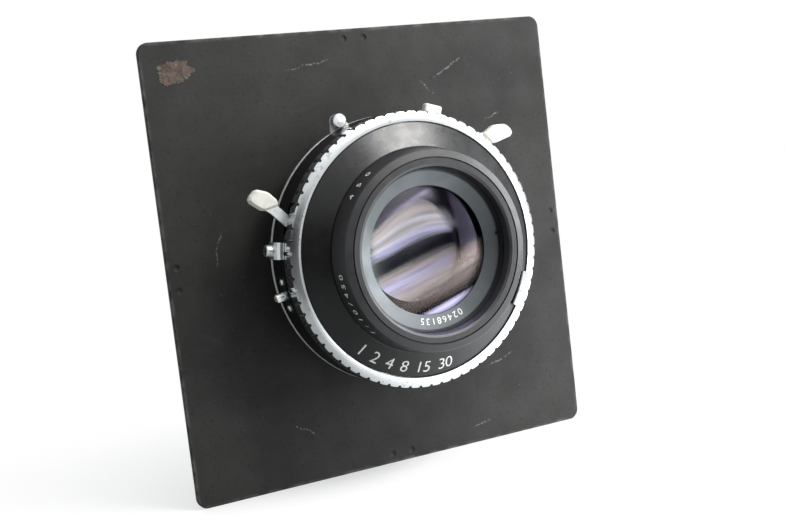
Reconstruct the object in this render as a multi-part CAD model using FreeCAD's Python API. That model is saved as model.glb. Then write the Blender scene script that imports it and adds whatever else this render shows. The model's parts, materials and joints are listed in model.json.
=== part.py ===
"""Large-format lens in a size 3 leaf shutter, mounted on a square lens board for a view camera.

Everything is modelled in the shutter's own frame: the optical axis is +Z, pointing to the front of the lens,
and Z = 0 is the front face of the lens board. X is to the right and Y is up, both as seen from the front.
export() turns that frame so that the row frame has +Z up and the lens looks along -Y. Lengths are in mm, and
angles in degrees, counter-clockwise as seen from the front. The shutter rests closed, with its iris wide open.
"""

import FreeCAD
import Part
import math
import os

from FreeCAD import Vector

# ---------------------------------------------------------------- lens board
BOARD_SIDE = 162.0
BOARD_RIM_THICKNESS = 2.0
BOARD_THICKNESS = 3.0
BOARD_PLATEAU = 141.0  # side of the thicker middle, which nests in the camera's opening
BOARD_CORNER_R = 4.0
BOARD_CHAMFER = 0.35
MOUNT_HOLE_R = 32.5
DIMPLE_SPHERE_R = 1.8
DIMPLE_DEPTH = 0.55
DIMPLE_EDGE = 3.5  # from the board's edge to a dimple
DIMPLE_PITCH = 8.0  # between the two dimples of a pair
TRAP_OUTER = 140.0
TRAP_INNER = 130.0
TRAP_HEIGHT = 3.5

# ---------------------------------------------------------------- shutter housing
RUN = 0.05  # radial running clearance
BODY_R = 48.1  # outside of the wide part
BODY_WALL = 1.8
BODY_INNER_R = BODY_R - BODY_WALL
HUB_R = 42.0  # outside of the narrow rear part
HUB_INNER_R = 40.4
BOSS_R = 32.3
BOSS_LENGTH = 9.0
CELL_THREAD_R = 29.3
APERTURE_R = 22.9  # fixed opening of the shutter, a little over 45 mm across
SEAT_Z = 0.8
HUB_FLOOR_Z = 2.4
FLOOR_BACK_Z = 15.2
FLOOR_Z = 16.8
BODY_TOP_Z = 26.2

# ---------------------------------------------------------------- iris
IRIS_COUNT = 10
IRIS_PIVOT_R = 36.0
IRIS_TRAVEL = 28.6  # each blade's turn from wide open to smallest stop
IRIS_RING_TRAVEL = 48.0
IRIS_BLADE_IN = 23.05
IRIS_BLADE_OUT = 32.6
IRIS_BLADE_ARC = 105.0
IRIS_BLADE_T = 0.18
IRIS_PITCH_Z = 0.3
IRIS_FIRST_Z = 2.7
IRIS_ARM = 6.5
IRIS_PIN_R = 0.6
IRIS_RING_Z = (6.1, 7.2)
RING_PLATE_Z = (13.6, 15.0)  # aperture ring
KNOB_CENTRE_R = 50.8
TAB_ANGLE = 110.4  # aperture lever at rest

# ---------------------------------------------------------------- leaf shutter
LEAF_COUNT = 5
LEAF_PIVOT_R = 40.0
LEAF_TRAVEL = 34.0
LEAF_RING_TRAVEL = 20.0
LEAF_IN = 23.1
LEAF_OUT = 37.4
LEAF_ARC = 120.0
LEAF_T = 0.22
LEAF_PITCH_Z = 0.35
LEAF_FIRST_Z = 17.7
LEAF_ARM = 4.6
LEAF_PIN_R = 0.7
LEAF_RING_Z = (19.7, 20.5)
LEAF_RING_R = 43.2
LEAF_PHASE = 12.0  # angle of the first leaf's pivot
PREVIEW_ANGLE = 72.7

# ---------------------------------------------------------------- mechanism
PLATE_Z = (20.8, 21.6)
TUBE_R = 31.3
TUBE_TOP_Z = 36.4
LEVER_Z = (24.8, 26.0)
CAP_Z = (23.9, 27.0)
POST_R = 1.45
POST_CENTRE_R = 44.75
POST_ANGLES = (30.0, 150.0, 270.0)
SCREW_R = 0.7
SPRING_STUD_ANGLE = 330.0
MODULE = 0.5
SECTOR_TEETH = 144  # as if it went all the way round
PINION_TEETH = 14
WHEEL_TEETH = 22
ESCAPE_PINION_TEETH = 10
ESCAPE_TEETH = 18
ESCAPE_R = 5.2
GEAR_ANGLE = 250.0
BACKLASH = 0.09

# ---------------------------------------------------------------- front
RING_Z = (26.4, 32.5)
RING_R = 48.25
RING_NOTCH_R = 47.55
RING_NOTCH_HALF = 0.8  # half of a groove's angle at the rim
RING_NOTCH_FLOOR = 0.4  # and at its floor
RING_LOBES = 72
RING_PHASE = 3.6
RING_IN = 44.6
LUG_FROM, LUG_TO = 324.5, 341.5
LUG_IN = 42.2
CONE_OUT = (44.4, 32.2)
CONE_IN = (35.9, 36.5)
CELL_BASE_R = 35.5
CELL_FRONT_R = 34.5
CELL_FRONT_Z = 45.9
FILTER_R = 28.6
FILTER_OUT = 31.5
BEVEL_FRONT = (27.2, 40.2)
GLASS_EDGE = (22.3, 38.8)

# ---------------------------------------------------------------- side fittings
FITTING_Z = 20.1
SOCKET_ANGLE = 172.6
SOCKET_R = 2.1
SOCKET_END = 52.6
SOCKET_HOLE_R = 1.5
SADDLE_HALF = 2.8  # half the height of the pressed cover round the socket
SADDLE_BULGE = 2.2
TERMINAL_ANGLE = 190.8
TERMINAL_Z = 22.0
TERMINAL_SEAT = 0.35  # thickness of the terminal's curved plate
TERMINAL_SCREW = 5.5  # angle from the post to each screw
TERMINAL_R = 1.65
TERMINAL_NECK_R = 1.45
TERMINAL_END = 52.2

X, Y, Z = Vector(1, 0, 0), Vector(0, 1, 0), Vector(0, 0, 1)
ORIGIN = Vector(0, 0, 0)


# ================================================================ helpers
def polar(radius, angle, z=0.0):
    a = math.radians(angle)
    return Vector(radius * math.cos(a), radius * math.sin(a), z)


def turned(point, centre, angle):
    """point, turned about centre in the XY plane."""
    a = math.radians(angle)
    d = point - centre
    return centre + Vector(d.x * math.cos(a) - d.y * math.sin(a), d.x * math.sin(a) + d.y * math.cos(a), d.z)


def spun(shape, angle, centre=ORIGIN, axis=Z):
    copy = shape.copy()
    copy.rotate(centre, axis, angle)
    return copy


def cylinder(radius, z0, z1, at=ORIGIN):
    return Part.makeCylinder(radius, z1 - z0, Vector(at.x, at.y, z0))


def annulus(r_in, r_out, z0, z1):
    return cylinder(r_out, z0, z1).cut(cylinder(r_in, z0 - 1, z1 + 1))


def lathe(points, angle=360.0):
    """Solid turned about the optical axis from (radius, z) points."""
    wire = Part.makePolygon([Vector(r, 0, z) for r, z in points] + [Vector(points[0][0], 0, points[0][1])])
    return Part.Face(wire).revolve(ORIGIN, Z, angle)


def plate(points, z0, z1):
    """Flat plate from XY points."""
    ring = [Vector(p[0], p[1], z0) for p in points]
    return Part.Face(Part.makePolygon(ring + [ring[0]])).extrude(Vector(0, 0, z1 - z0))


def strip(a, b, width, z0, z1):
    """Bar with round ends from a to b."""
    d = b - a
    half = Vector(-d.y, d.x, 0).normalize() * (width / 2)
    bar = plate([a + half, b + half, b - half, a - half], z0, z1)
    ends = [cylinder(width / 2, z0, z1, p) for p in (a, b)]
    return bar.fuse(ends).removeSplitter()


def chain(points, widths, z0, z1):
    """Strips joined end to end, for a bent sheet-metal arm."""
    parts = [strip(a, b, w, z0, z1) for a, b, w in zip(points, points[1:], widths)]
    return parts[0].fuse(parts[1:]).removeSplitter() if len(parts) > 1 else parts[0]


def fuse(*parts):
    return parts[0].fuse(list(parts[1:])).removeSplitter()


def radial(shape, angle, z):
    """Takes a shape turned about +Z at the origin and points it outward from the optical axis."""
    copy = spun(shape, 90, axis=Y)
    copy.translate(Vector(0, 0, z))
    return spun(copy, angle)


def sector_ring(r_in, r_out, z0, z1, start, sweep):
    """Part of a ring, from angle start through sweep degrees."""
    return spun(lathe([(r_in, z0), (r_out, z0), (r_out, z1), (r_in, z1)], sweep), start)


def cam_slot(pivot_r, pin_at_rest, blade_travel, ring_travel, half_width, z0, z1):
    """Slot for a blade's drive pin in its ring, so that the blade turns in a fixed ratio to the ring."""
    pivot = Vector(pivot_r, 0, 0)
    steps = 12

    def centre(t):
        return turned(turned(pin_at_rest, pivot, blade_travel * t), ORIGIN, -ring_travel * t)

    def side(t, sign):
        along = (centre(t + 0.001) - centre(t - 0.001)).normalize()
        return centre(t) + Vector(-along.y, along.x, 0) * (half_width * sign)

    def rail(sign):
        curve = Part.BSplineCurve()
        curve.interpolate([side(i / steps, sign) + Vector(0, 0, z0) for i in range(steps + 1)])
        return curve.toShape()

    def end(t):
        ahead = (centre(t + 0.001) - centre(t - 0.001)).normalize() * (half_width if t > 0.5 else -half_width)
        points = [p + Vector(0, 0, z0) for p in (side(t, 1), centre(t) + ahead, side(t, -1))]
        return Part.Arc(*points).toShape()

    wire = Part.Wire(Part.__sortEdges__([rail(1), end(1.0), rail(-1), end(0.0)]))
    return Part.Face(wire).extrude(Vector(0, 0, z1 - z0))


def gear_outline(teeth, phase=0.0, sweep=359.9):
    """Points of an involute spur gear, or of a sector of it that starts with a tooth at angle phase."""
    pitch_r = MODULE * teeth / 2
    base_r = pitch_r * math.cos(math.radians(20))
    tip_r = pitch_r + 0.9 * MODULE
    root_r = pitch_r - 1.25 * MODULE
    half_at_pitch = (math.pi * MODULE / 2 - BACKLASH) / 2 / pitch_r

    def involute(r):
        c = min(1.0, base_r / r)
        return math.tan(math.acos(c)) - math.acos(c)

    points = []
    for i in range(int(sweep * teeth / 360) + 1):
        mid = math.radians(phase) + 2 * math.pi * i / teeth
        start_r = max(base_r, root_r)
        flank = [(start_r + (tip_r - start_r) * k / 4) for k in range(5)]
        flank = [(r, half_at_pitch + involute(pitch_r) - involute(r)) for r in flank]
        if base_r > root_r:
            flank.insert(0, (root_r, flank[0][1]))
        points += [polar(r, math.degrees(mid - h)) for r, h in flank]
        points += [polar(r, math.degrees(mid + h)) for r, h in reversed(flank)]
    return points


def gear(teeth, z0, z1, at, phase):
    solid = plate(gear_outline(teeth, phase), z0, z1)
    solid.translate(Vector(at.x, at.y, 0))
    return solid


def lens_element(radius, edge_front, front_r, edge_back, back_r):
    """Glass element: front_r and back_r are radii of curvature, positive when that face bulges outward."""
    def sag(curve):
        return math.copysign(abs(curve) - math.sqrt(curve * curve - radius * radius), curve)

    def mid(curve):
        half = radius / 2
        return math.copysign(abs(curve) - math.sqrt(curve * curve - half * half), curve)

    front_top = edge_front + sag(front_r)
    back_top = edge_back - sag(back_r)
    front = Part.Arc(
        Vector(0, 0, front_top), Vector(radius / 2, 0, front_top - mid(front_r)), Vector(radius, 0, edge_front)
    )
    back = Part.Arc(
        Vector(radius, 0, edge_back), Vector(radius / 2, 0, back_top + mid(back_r)), Vector(0, 0, back_top)
    )
    rim = Part.LineSegment(Vector(radius, 0, edge_front), Vector(radius, 0, edge_back))
    axis = Part.LineSegment(Vector(0, 0, back_top), Vector(0, 0, front_top))
    wire = Part.Wire([front.toShape(), rim.toShape(), back.toShape(), axis.toShape()])
    return Part.Face(wire).revolve(ORIGIN, Z, 360)


# ================================================================ board and mounting
def rounded_square(side, corner, z0, z1):
    box = Part.makeBox(side, side, z1 - z0, Vector(-side / 2, -side / 2, z0))
    upright = [e for e in box.Edges if abs(e.Vertexes[0].X - e.Vertexes[-1].X) < 1e-6
               and abs(e.Vertexes[0].Y - e.Vertexes[-1].Y) < 1e-6]
    return box.makeFillet(corner, upright)


def lens_board():
    board = rounded_square(BOARD_SIDE, BOARD_CORNER_R, -BOARD_RIM_THICKNESS, 0)
    rims = [e for e in board.Edges if abs(e.BoundBox.ZLength) < 1e-6]
    board = board.makeChamfer(BOARD_CHAMFER, rims)
    board = fuse(board, rounded_square(BOARD_PLATEAU, 4.5, -BOARD_THICKNESS, -1.0))
    board = board.cut(cylinder(MOUNT_HOLE_R, -5, 1))
    board = board.cut(cylinder(1.4, -5, 1, polar(36.5, 90)))  # takes the locating screw
    out = BOARD_SIDE / 2 - DIMPLE_EDGE
    for quarter in range(4):
        for side in (-1, 1):
            spot = Vector(side * DIMPLE_PITCH / 2, out, DIMPLE_SPHERE_R - DIMPLE_DEPTH)
            board = board.cut(Part.makeSphere(DIMPLE_SPHERE_R, turned(spot, ORIGIN, 90 * quarter)))
    return board


def light_trap_frame():
    back = -BOARD_THICKNESS
    outer = rounded_square(TRAP_OUTER, 4.0, back - TRAP_HEIGHT, back)
    return outer.cut(rounded_square(TRAP_INNER, 3.0, back - TRAP_HEIGHT - 1, back + 1))


def retaining_ring():
    z0, z1 = -BOARD_THICKNESS - 3.6, -BOARD_THICKNESS
    ring = lathe([(BOSS_R + RUN, z0), (38.0, z0), (38.5, z0 + 0.5), (38.5, z1), (BOSS_R + RUN, z1)])
    for quarter in range(4):
        slot = Part.makeBox(3.0, 4.0, 2.2, Vector(-1.5, 36.2, z0 - 0.4))
        ring = ring.cut(spun(slot, 45 + 90 * quarter))
    return ring


def locating_screw():
    at = polar(36.5, 90)
    screw = cylinder(1.2, -2.7, 1.9, at)
    return screw.cut(Part.makeBox(3.0, 0.4, 0.6, Vector(at.x - 1.5, at.y - 0.2, -2.8)))


# ================================================================ shutter body
def iris_pin_at_rest():
    return Vector(IRIS_PIVOT_R, 0, 0) + polar(IRIS_ARM, 90 + IRIS_TRAVEL / 2)


def leaf_pin_open():
    return Vector(LEAF_PIVOT_R, 0, 0) + polar(LEAF_ARM, 90 + LEAF_TRAVEL / 2)


def post_spots():
    return [polar(POST_CENTRE_R, a) for a in POST_ANGLES]


def shutter_housing():
    wall_in = BODY_INNER_R
    body = lathe([
        (APERTURE_R, SEAT_Z), (APERTURE_R, HUB_FLOOR_Z), (HUB_INNER_R, HUB_FLOOR_Z), (HUB_INNER_R, FLOOR_Z),
        (wall_in, FLOOR_Z), (wall_in, BODY_TOP_Z), (BODY_R - 0.3, BODY_TOP_Z), (BODY_R, BODY_TOP_Z - 0.3),
        (BODY_R, FLOOR_BACK_Z + 0.3), (BODY_R - 0.3, FLOOR_BACK_Z), (HUB_R, FLOOR_BACK_Z), (HUB_R, 0.4),
        (HUB_R - 0.4, 0), (BOSS_R, 0), (BOSS_R, -BOSS_LENGTH + 0.4), (BOSS_R - 0.4, -BOSS_LENGTH),
        (CELL_THREAD_R, -BOSS_LENGTH), (CELL_THREAD_R, SEAT_Z),
    ])
    pivots = [polar(IRIS_PIVOT_R, 360 * i / IRIS_COUNT) for i in range(IRIS_COUNT)]
    cuts = [cylinder(0.76, 1.1, HUB_FLOOR_Z + 1, at) for at in pivots]
    cuts += [cylinder(SCREW_R + RUN, FLOOR_BACK_Z - 1, FLOOR_Z + 1, at) for at in post_spots()]
    cuts.append(cylinder(1.25, -1, 2.0, polar(36.5, 90)))
    cuts.append(sector_ring(HUB_INNER_R - 2, HUB_R + 2, 13.5, 14.9, TAB_ANGLE - IRIS_RING_TRAVEL - 3,
                            IRIS_RING_TRAVEL + 6))
    for start, sweep in ((-10.0, 64.0), (PREVIEW_ANGLE - 5, LEAF_RING_TRAVEL + 10), (153.0, 13.0)):
        cuts.append(sector_ring(BODY_INNER_R - 1, BODY_R + 2, LEVER_Z[0] - 0.15, BODY_TOP_Z + 1, start, sweep))
    cuts.append(radial(cylinder(SOCKET_R + 0.02, 40, 60), SOCKET_ANGLE, FITTING_Z))
    cuts.append(radial(cylinder(TERMINAL_NECK_R + 0.02, 40, 60), TERMINAL_ANGLE, TERMINAL_Z))
    return body.cut(cuts + terminal_screw_holes())


def aperture_ring_retainer():
    return annulus(HUB_R, 45.0, 12.4, 13.4)


def aperture_ring():
    z0, z1 = RING_PLATE_Z
    ring = annulus(HUB_R + 0.1, BODY_R, z0, z1)
    knob = Vector(KNOB_CENTRE_R, 0, 0)
    side = [(45.5, 4.9), (49.6, 3.1), (knob.x, 2.4)]
    tab = plate([(x, -y) for x, y in side] + side[::-1], z0 + 0.5, z1)
    tab = fuse(tab, cylinder(2.4, z0 + 0.5, z1, knob))
    tab = tab.cut(cylinder(1.0, z0 - 1, z1 + 1, knob))
    notch = Part.makeBox(2.6, 3.1, 3.0, Vector(HUB_R - 1, -1.55, z0 - 0.8))
    return fuse(ring, spun(tab, TAB_ANGLE)).cut(spun(notch, TAB_ANGLE))


def aperture_knob():
    at = polar(KNOB_CENTRE_R, TAB_ANGLE)
    z0 = RING_PLATE_Z[1]
    head = lathe([(0, z0), (2.45, z0), (2.55, z0 + 0.2), (2.55, z0 + 2.7), (2.2, z0 + 3.1), (0, z0 + 3.25)])
    grooves = [cylinder(0.22, z0 + 0.4, z0 + 2.5, polar(2.62, 22.5 * i)) for i in range(16)]
    head = fuse(head.cut(grooves), cylinder(0.98, z0 - 1.1, z0 + 0.1))
    head.translate(at)
    return head


def crescent(r_in, r_out, start, sweep, z0, z1):
    """Blade body: a curved strip whose free end is rounded."""
    middle, half = (r_in + r_out) / 2, (r_out - r_in) / 2
    body = sector_ring(r_in, r_out, z0, z1, start, sweep)
    tip = polar(middle, start)
    return fuse(body, cylinder(half, z0, z1, tip))


def iris_blade(i):
    z0 = IRIS_FIRST_Z + IRIS_PITCH_Z * i
    z1 = z0 + IRIS_BLADE_T
    pivot = Vector(IRIS_PIVOT_R, 0, 0)
    pin = iris_pin_at_rest()
    blade = fuse(
        crescent(IRIS_BLADE_IN, IRIS_BLADE_OUT, -IRIS_BLADE_ARC, IRIS_BLADE_ARC + 3, z0, z1),
        strip(Vector(31.5, 0, 0), pivot, 3.4, z0, z1),
        strip(pivot, pin, 2.4, z0, z1),
        cylinder(0.7, 1.2, z1, pivot),
        cylinder(IRIS_PIN_R, z0, IRIS_RING_Z[1] - 0.1, pin),
    )
    return spun(blade, 360 * i / IRIS_COUNT)


def iris_ring():
    z0, z1 = IRIS_RING_Z
    ring = annulus(33.3, HUB_INNER_R - 0.1, z0, z1)
    pin, half_width = iris_pin_at_rest(), IRIS_PIN_R + 0.09
    slot = cam_slot(IRIS_PIVOT_R, pin, -IRIS_TRAVEL, -IRIS_RING_TRAVEL, half_width, z0 - 1, z1 + 1)
    return ring.cut([spun(slot, 360 * i / IRIS_COUNT) for i in range(IRIS_COUNT)])


def iris_drive_arm():
    upright = Part.makeBox(2.4, 3.0, 14.6 - IRIS_RING_Z[1], Vector(35.0, -1.5, IRIS_RING_Z[1]))
    finger = Part.makeBox(8.5, 3.0, 0.9, Vector(35.0, -1.5, 13.7))
    return spun(fuse(upright, finger), TAB_ANGLE)


def iris_retainer():
    return annulus(38.4, HUB_INNER_R, 7.4, 8.2)


# ================================================================ leaf shutter
def blade_plate():
    disc = annulus(APERTURE_R, BODY_INNER_R - RUN, FLOOR_Z, FLOOR_Z + 0.6)
    pivots = [polar(LEAF_PIVOT_R, LEAF_PHASE + 360 * i / LEAF_COUNT) for i in range(LEAF_COUNT)]
    holes = [cylinder(0.86, 10, 20, at) for at in pivots]
    holes += [cylinder(SCREW_R + RUN, 10, 20, at) for at in post_spots()]
    return disc.cut(holes)


def shutter_blade(i):
    """One leaf, closed, which is the shutter's rest state."""
    z0 = LEAF_FIRST_Z + LEAF_PITCH_Z * i
    z1 = z0 + LEAF_T
    pivot = Vector(LEAF_PIVOT_R, 0, 0)
    pin = leaf_pin_open()
    leaf = fuse(
        sector_ring(LEAF_IN, LEAF_OUT, z0, z1, -LEAF_ARC, LEAF_ARC + 8),
        strip(Vector(36.0, 0, 0), pivot, 4.0, z0, z1),
        strip(pivot, pin, 2.8, z0, z1),
        cylinder(0.8, FLOOR_Z + 0.1, z1, pivot),
        cylinder(LEAF_PIN_R, z0, LEAF_RING_Z[1] - 0.1, pin),
    )
    leaf = spun(leaf, -LEAF_TRAVEL, pivot)
    return spun(leaf, LEAF_PHASE + 360 * i / LEAF_COUNT)


def blade_ring():
    """Ring that swings the leaves, with the arm that carries the focusing tab out of the housing."""
    z0, z1 = LEAF_RING_Z
    ring = annulus(37.2, LEAF_RING_R, z0, z1)
    pin = turned(leaf_pin_open(), Vector(LEAF_PIVOT_R, 0, 0), -LEAF_TRAVEL)
    slot = cam_slot(LEAF_PIVOT_R, pin, LEAF_TRAVEL, LEAF_RING_TRAVEL, LEAF_PIN_R + 0.09, z0 - 1, z1 + 1)
    ring = ring.cut([spun(slot, LEAF_PHASE + 360 * i / LEAF_COUNT) for i in range(LEAF_COUNT)])
    foot = Part.makeBox(3.7, 4.0, z1 - z0, Vector(42.1, -2.0, z0))
    riser = Part.makeBox(1.0, 4.0, LEVER_Z[1] - z0, Vector(44.8, -2.0, z0))
    arm = Part.makeBox(6.4, 4.0, LEVER_Z[1] - LEVER_Z[0], Vector(44.8, -2.0, LEVER_Z[0]))
    return fuse(ring, spun(fuse(foot, riser, arm), PREVIEW_ANGLE))


def preview_tab_cap():
    body = Part.makeBox(3.2, 6.8, CAP_Z[1] - CAP_Z[0], Vector(48.7, -3.4, CAP_Z[0]))
    body = body.makeFillet(0.8, body.Edges)
    arm = Part.makeBox(8.0, 4.0, LEVER_Z[1] - LEVER_Z[0], Vector(43.2, -2.0, LEVER_Z[0]))
    return spun(body.cut(arm), PREVIEW_ANGLE)


# ================================================================ mechanism
def release_pivot():
    return Vector(-39.9, 12.2, 0)


def gear_spot():
    return polar(MODULE * (SECTOR_TEETH + PINION_TEETH) / 2, GEAR_ANGLE)


def escape_spot():
    reach = MODULE * (WHEEL_TEETH + ESCAPE_PINION_TEETH) / 2
    radius = gear_spot().Length
    return polar(radius, GEAR_ANGLE - math.degrees(2 * math.asin(reach / 2 / radius)))


def pallet_spot():
    return polar(39.0, GEAR_ANGLE - 25.5)


def mechanism_plate():
    z0, z1 = PLATE_Z
    base = annulus(APERTURE_R, BODY_INNER_R - RUN, z0, z1)
    tube = annulus(CELL_THREAD_R, TUBE_R, z0, TUBE_TOP_Z)
    studs = [
        cylinder(1.2, z0, 26.1, release_pivot()),
        cylinder(0.8, z0, 26.2, gear_spot()),
        cylinder(0.7, z0, 24.6, escape_spot()),
        cylinder(0.7, z0, 24.0, pallet_spot()),
        cylinder(2.2, z0, 25.6, polar(41.0, SPRING_STUD_ANGLE)),
    ]
    solid = fuse(base, tube, *studs)
    cuts = [cylinder(SCREW_R + RUN, 10, z1 + 1, at) for at in post_spots()]
    cuts.append(sector_ring(44.2, BODY_R, z0 - 1, z1 + 1, PREVIEW_ANGLE - 5, LEAF_RING_TRAVEL + 10))
    return solid.cut(cuts)


def spacer_posts():
    posts = []
    for at in post_spots():
        posts.append(cylinder(POST_R, FLOOR_Z + 0.6, PLATE_Z[0], at).cut(cylinder(SCREW_R + RUN, 10, 30, at)))
    return Part.makeCompound(posts)


def mechanism_screws():
    screws = []
    for at in post_spots():
        shank = cylinder(SCREW_R, FLOOR_BACK_Z + 0.2, PLATE_Z[1], at)
        screw = fuse(shank, cylinder(1.3, PLATE_Z[1], 22.5, at))
        slot = Part.makeBox(3.0, 0.35, 0.5, Vector(at.x - 1.5, at.y - 0.17, 22.1))
        screws.append(screw.cut(slot))
    return Part.makeCompound(screws)


def cocking_ring():
    z0, z1 = LEVER_Z
    ring = annulus(TUBE_R + 0.1, 34.8, z0, z1)
    first = GEAR_ANGLE - 3 * 360 / SECTOR_TEETH
    sweep = 62.5
    teeth = gear_outline(SECTOR_TEETH, first, sweep)
    steps = 16
    back = [polar(33.5, first + sweep * (1 - k / steps)) for k in range(steps + 1)]
    sector = plate(teeth + back, z0, z1)
    arm = chain([Vector(21.0, 24.6, 0), Vector(33.8, 35.6, 0), Vector(44.3, 37.3, 0)], (4.4, 3.2), z0, z1)
    tube = cylinder(TUBE_R + 0.1, z0 - 1, z1 + 1)
    return fuse(ring, sector, arm).cut(tube)


def lever_cap(outline, arm, bevel=0.75):
    """Moulded finger tip pushed onto the end of a lever arm."""
    body = plate(outline, *CAP_Z)
    body = body.makeChamfer(bevel, body.Edges)
    return body.cut(arm)


def cocking_lever_cap():
    outline = [
        (34.2, 37.2), (39.3, 40.2), (44.4, 40.0), (46.9, 37.6), (46.6, 35.6), (39.4, 33.6), (37.4, 33.6),
    ]
    return lever_cap(outline, cocking_ring())


def release_lever():
    z0, z1 = LEVER_Z
    pivot = release_pivot()
    bends = [pivot, Vector(-44.9, 15.8, 0), Vector(-49.8, 20.9, 0), Vector(-54.6, 24.2, 0)]
    arm = chain(bends, (3.6, 3.5, 3.5), z0, z1)
    tail = strip(pivot, Vector(-38.9, 8.2, 0), 2.6, z0, z1)
    return fuse(arm, tail, cylinder(2.4, z0, z1, pivot)).cut(cylinder(1.2 + RUN, z0 - 1, z1 + 1, pivot))


def release_lever_cap():
    outline = [
        (-55.1, 28.0), (-50.8, 26.5), (-47.6, 23.2), (-47.9, 21.4), (-53.5, 20.3), (-58.1, 23.9),
        (-57.9, 25.4),
    ]
    return lever_cap(outline, release_lever())


def torsion_spring(radius, wire, z0, turns, at, leg_angle, leg):
    """Close-wound spring round a stud: rings that just overlap, with a straight leg leaving the top one."""
    pitch = 1.9 * wire
    coils = [Part.makeTorus(radius, wire, Vector(0, 0, wire + pitch * i)) for i in range(turns)]
    top = Vector(radius, 0, wire + pitch * (turns - 1))
    spring = fuse(*coils, Part.makeCylinder(0.85 * wire, leg, top, Y))
    spring.rotate(ORIGIN, Z, leg_angle)
    spring.translate(Vector(at.x, at.y, z0))
    return spring


def main_spring():
    return torsion_spring(2.9, 0.3, 21.9, 6, polar(41.0, SPRING_STUD_ANGLE), 215, 4.5)


def release_spring():
    return torsion_spring(1.75, 0.22, 22.0, 5, release_pivot(), 200, 3.0)


def retard_gear():
    at = gear_spot()
    half_tooth = 180.0 / PINION_TEETH
    pinion = gear(PINION_TEETH, 24.4, 26.1, at, GEAR_ANGLE + 180 + half_tooth)
    wheel = gear(WHEEL_TEETH, 23.2, 24.4, at, gear_phase())
    return fuse(pinion, wheel).cut(cylinder(0.8 + RUN, 20, 30, at))


def gear_phase():
    """Angle of one wheel tooth, pointed at the escape pinion."""
    d = escape_spot() - gear_spot()
    return math.degrees(math.atan2(d.y, d.x))


def escape_wheel():
    at = escape_spot()
    pinion = gear(ESCAPE_PINION_TEETH, 23.0, 24.5, at, gear_phase() + 180 + 180.0 / ESCAPE_PINION_TEETH)
    outline = []
    for i in range(ESCAPE_TEETH):
        a = 360.0 * i / ESCAPE_TEETH
        outline += [polar(ESCAPE_R, a), polar(ESCAPE_R - 0.1, a + 2.5), polar(ESCAPE_R - 1.3, a + 5.0)]
    wheel = plate(outline, 22.0, 23.0)
    wheel.translate(at)
    return fuse(pinion, wheel).cut(cylinder(0.7 + RUN, 20, 30, at))


def pallet():
    """Rocking fork of the slow-speed retard, drawn back from the wheel as it is at the fast speeds."""
    at = pallet_spot()
    towards = escape_spot() - at
    aim = math.degrees(math.atan2(towards.y, towards.x))
    body = cylinder(1.6, 22.0, 23.4, ORIGIN)
    arms = [strip(ORIGIN, polar(3.6, side * 62), 1.1, 22.0, 23.0) for side in (-1, 1)]
    tips = [strip(polar(3.6, side * 62), polar(4.3, side * 48), 0.9, 22.0, 23.0) for side in (-1, 1)]
    fork = fuse(body, *arms, *tips).cut(cylinder(0.7 + RUN, 20, 30))
    fork = spun(fork, aim)
    fork.translate(at)
    return fork


# ================================================================ front of the shutter
def speed_ring():
    """Serrated setting ring with its finger lug."""
    z0, z1 = RING_Z
    step = 360.0 / RING_LOBES
    edges = []
    for i in range(RING_LOBES):
        a = RING_PHASE + i * step
        floor_start, floor_end = (polar(RING_NOTCH_R, a + side * RING_NOTCH_FLOOR, z0) for side in (-1, 1))
        left = polar(RING_R - 0.1, a + RING_NOTCH_HALF, z0)
        right = polar(RING_R - 0.1, a + step - RING_NOTCH_HALF, z0)
        following = polar(RING_NOTCH_R, a + step - RING_NOTCH_FLOOR, z0)
        edges.append(Part.LineSegment(floor_start, floor_end).toShape())
        edges.append(Part.LineSegment(floor_end, left).toShape())
        edges.append(Part.Arc(left, polar(RING_R, a + step / 2, z0), right).toShape())
        edges.append(Part.LineSegment(right, following).toShape())
    lobed = Part.Face(Part.Wire(edges)).extrude(Vector(0, 0, z1 - z0))
    inside, outside = RING_IN + 0.15, RING_R - 0.5
    crown = [(outside - (outside - inside) * k / 4, z1 - 0.7 * (1 - k / 4) ** 2) for k in range(5)]
    section = lathe([
        (43.0, 26.9), (RING_IN, 26.9), (RING_IN, z0), (RING_R - 0.5, z0), (RING_R + 0.3, z0 + 0.8),
        (RING_R + 0.3, z1 - 1.2), *crown, (RING_IN, z1 - 0.15), (RING_IN, 29.2), (43.0, 29.2),
    ])
    return fuse(lobed.common(section), finger_lug())


def cone_z(radius):
    """Height of the front plate's cone at a radius."""
    (r0, z0), (r1, z1) = CONE_OUT, CONE_IN
    return z0 + (r0 - radius) / (r0 - r1) * (z1 - z0)


def finger_lug():
    lift = 0.3
    top = cone_z(LUG_IN) + lift + 0.6
    points = [
        (RING_IN + 1.0, RING_Z[1] - 0.9), (RING_IN + 1.0, top - 0.5), (RING_IN + 0.4, top),
        (LUG_IN + 0.3, top), (LUG_IN, top - 0.3), (LUG_IN, cone_z(LUG_IN) + lift),
        (RING_IN, cone_z(RING_IN) + lift),
    ]
    return spun(lathe(points, LUG_TO - LUG_FROM), LUG_FROM)


def speed_cam_ring():
    ring = annulus(TUBE_R + 0.1, 43.0, 27.9, 28.8)
    cam = sector_ring(36.5, 38.0, 20, 40, 100, 70)
    return ring.cut([cam, spun(cam, 150), sector_ring(40.0, 41.2, 20, 40, 190, 60)])


def front_plate():
    (r0, z0), (r1, z1) = CONE_OUT, CONE_IN
    return lathe([
        (r0, 29.5), (r0, z0 - 0.15), (r0 - 0.15, z0), (r1, z1), (TUBE_R + RUN, z1), (TUBE_R + RUN, z1 - 1.0),
        (r1 - 0.5, z1 - 1.0), (r0 - 1.2, z0 - 0.6), (r0 - 1.2, 29.5),
    ])


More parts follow.
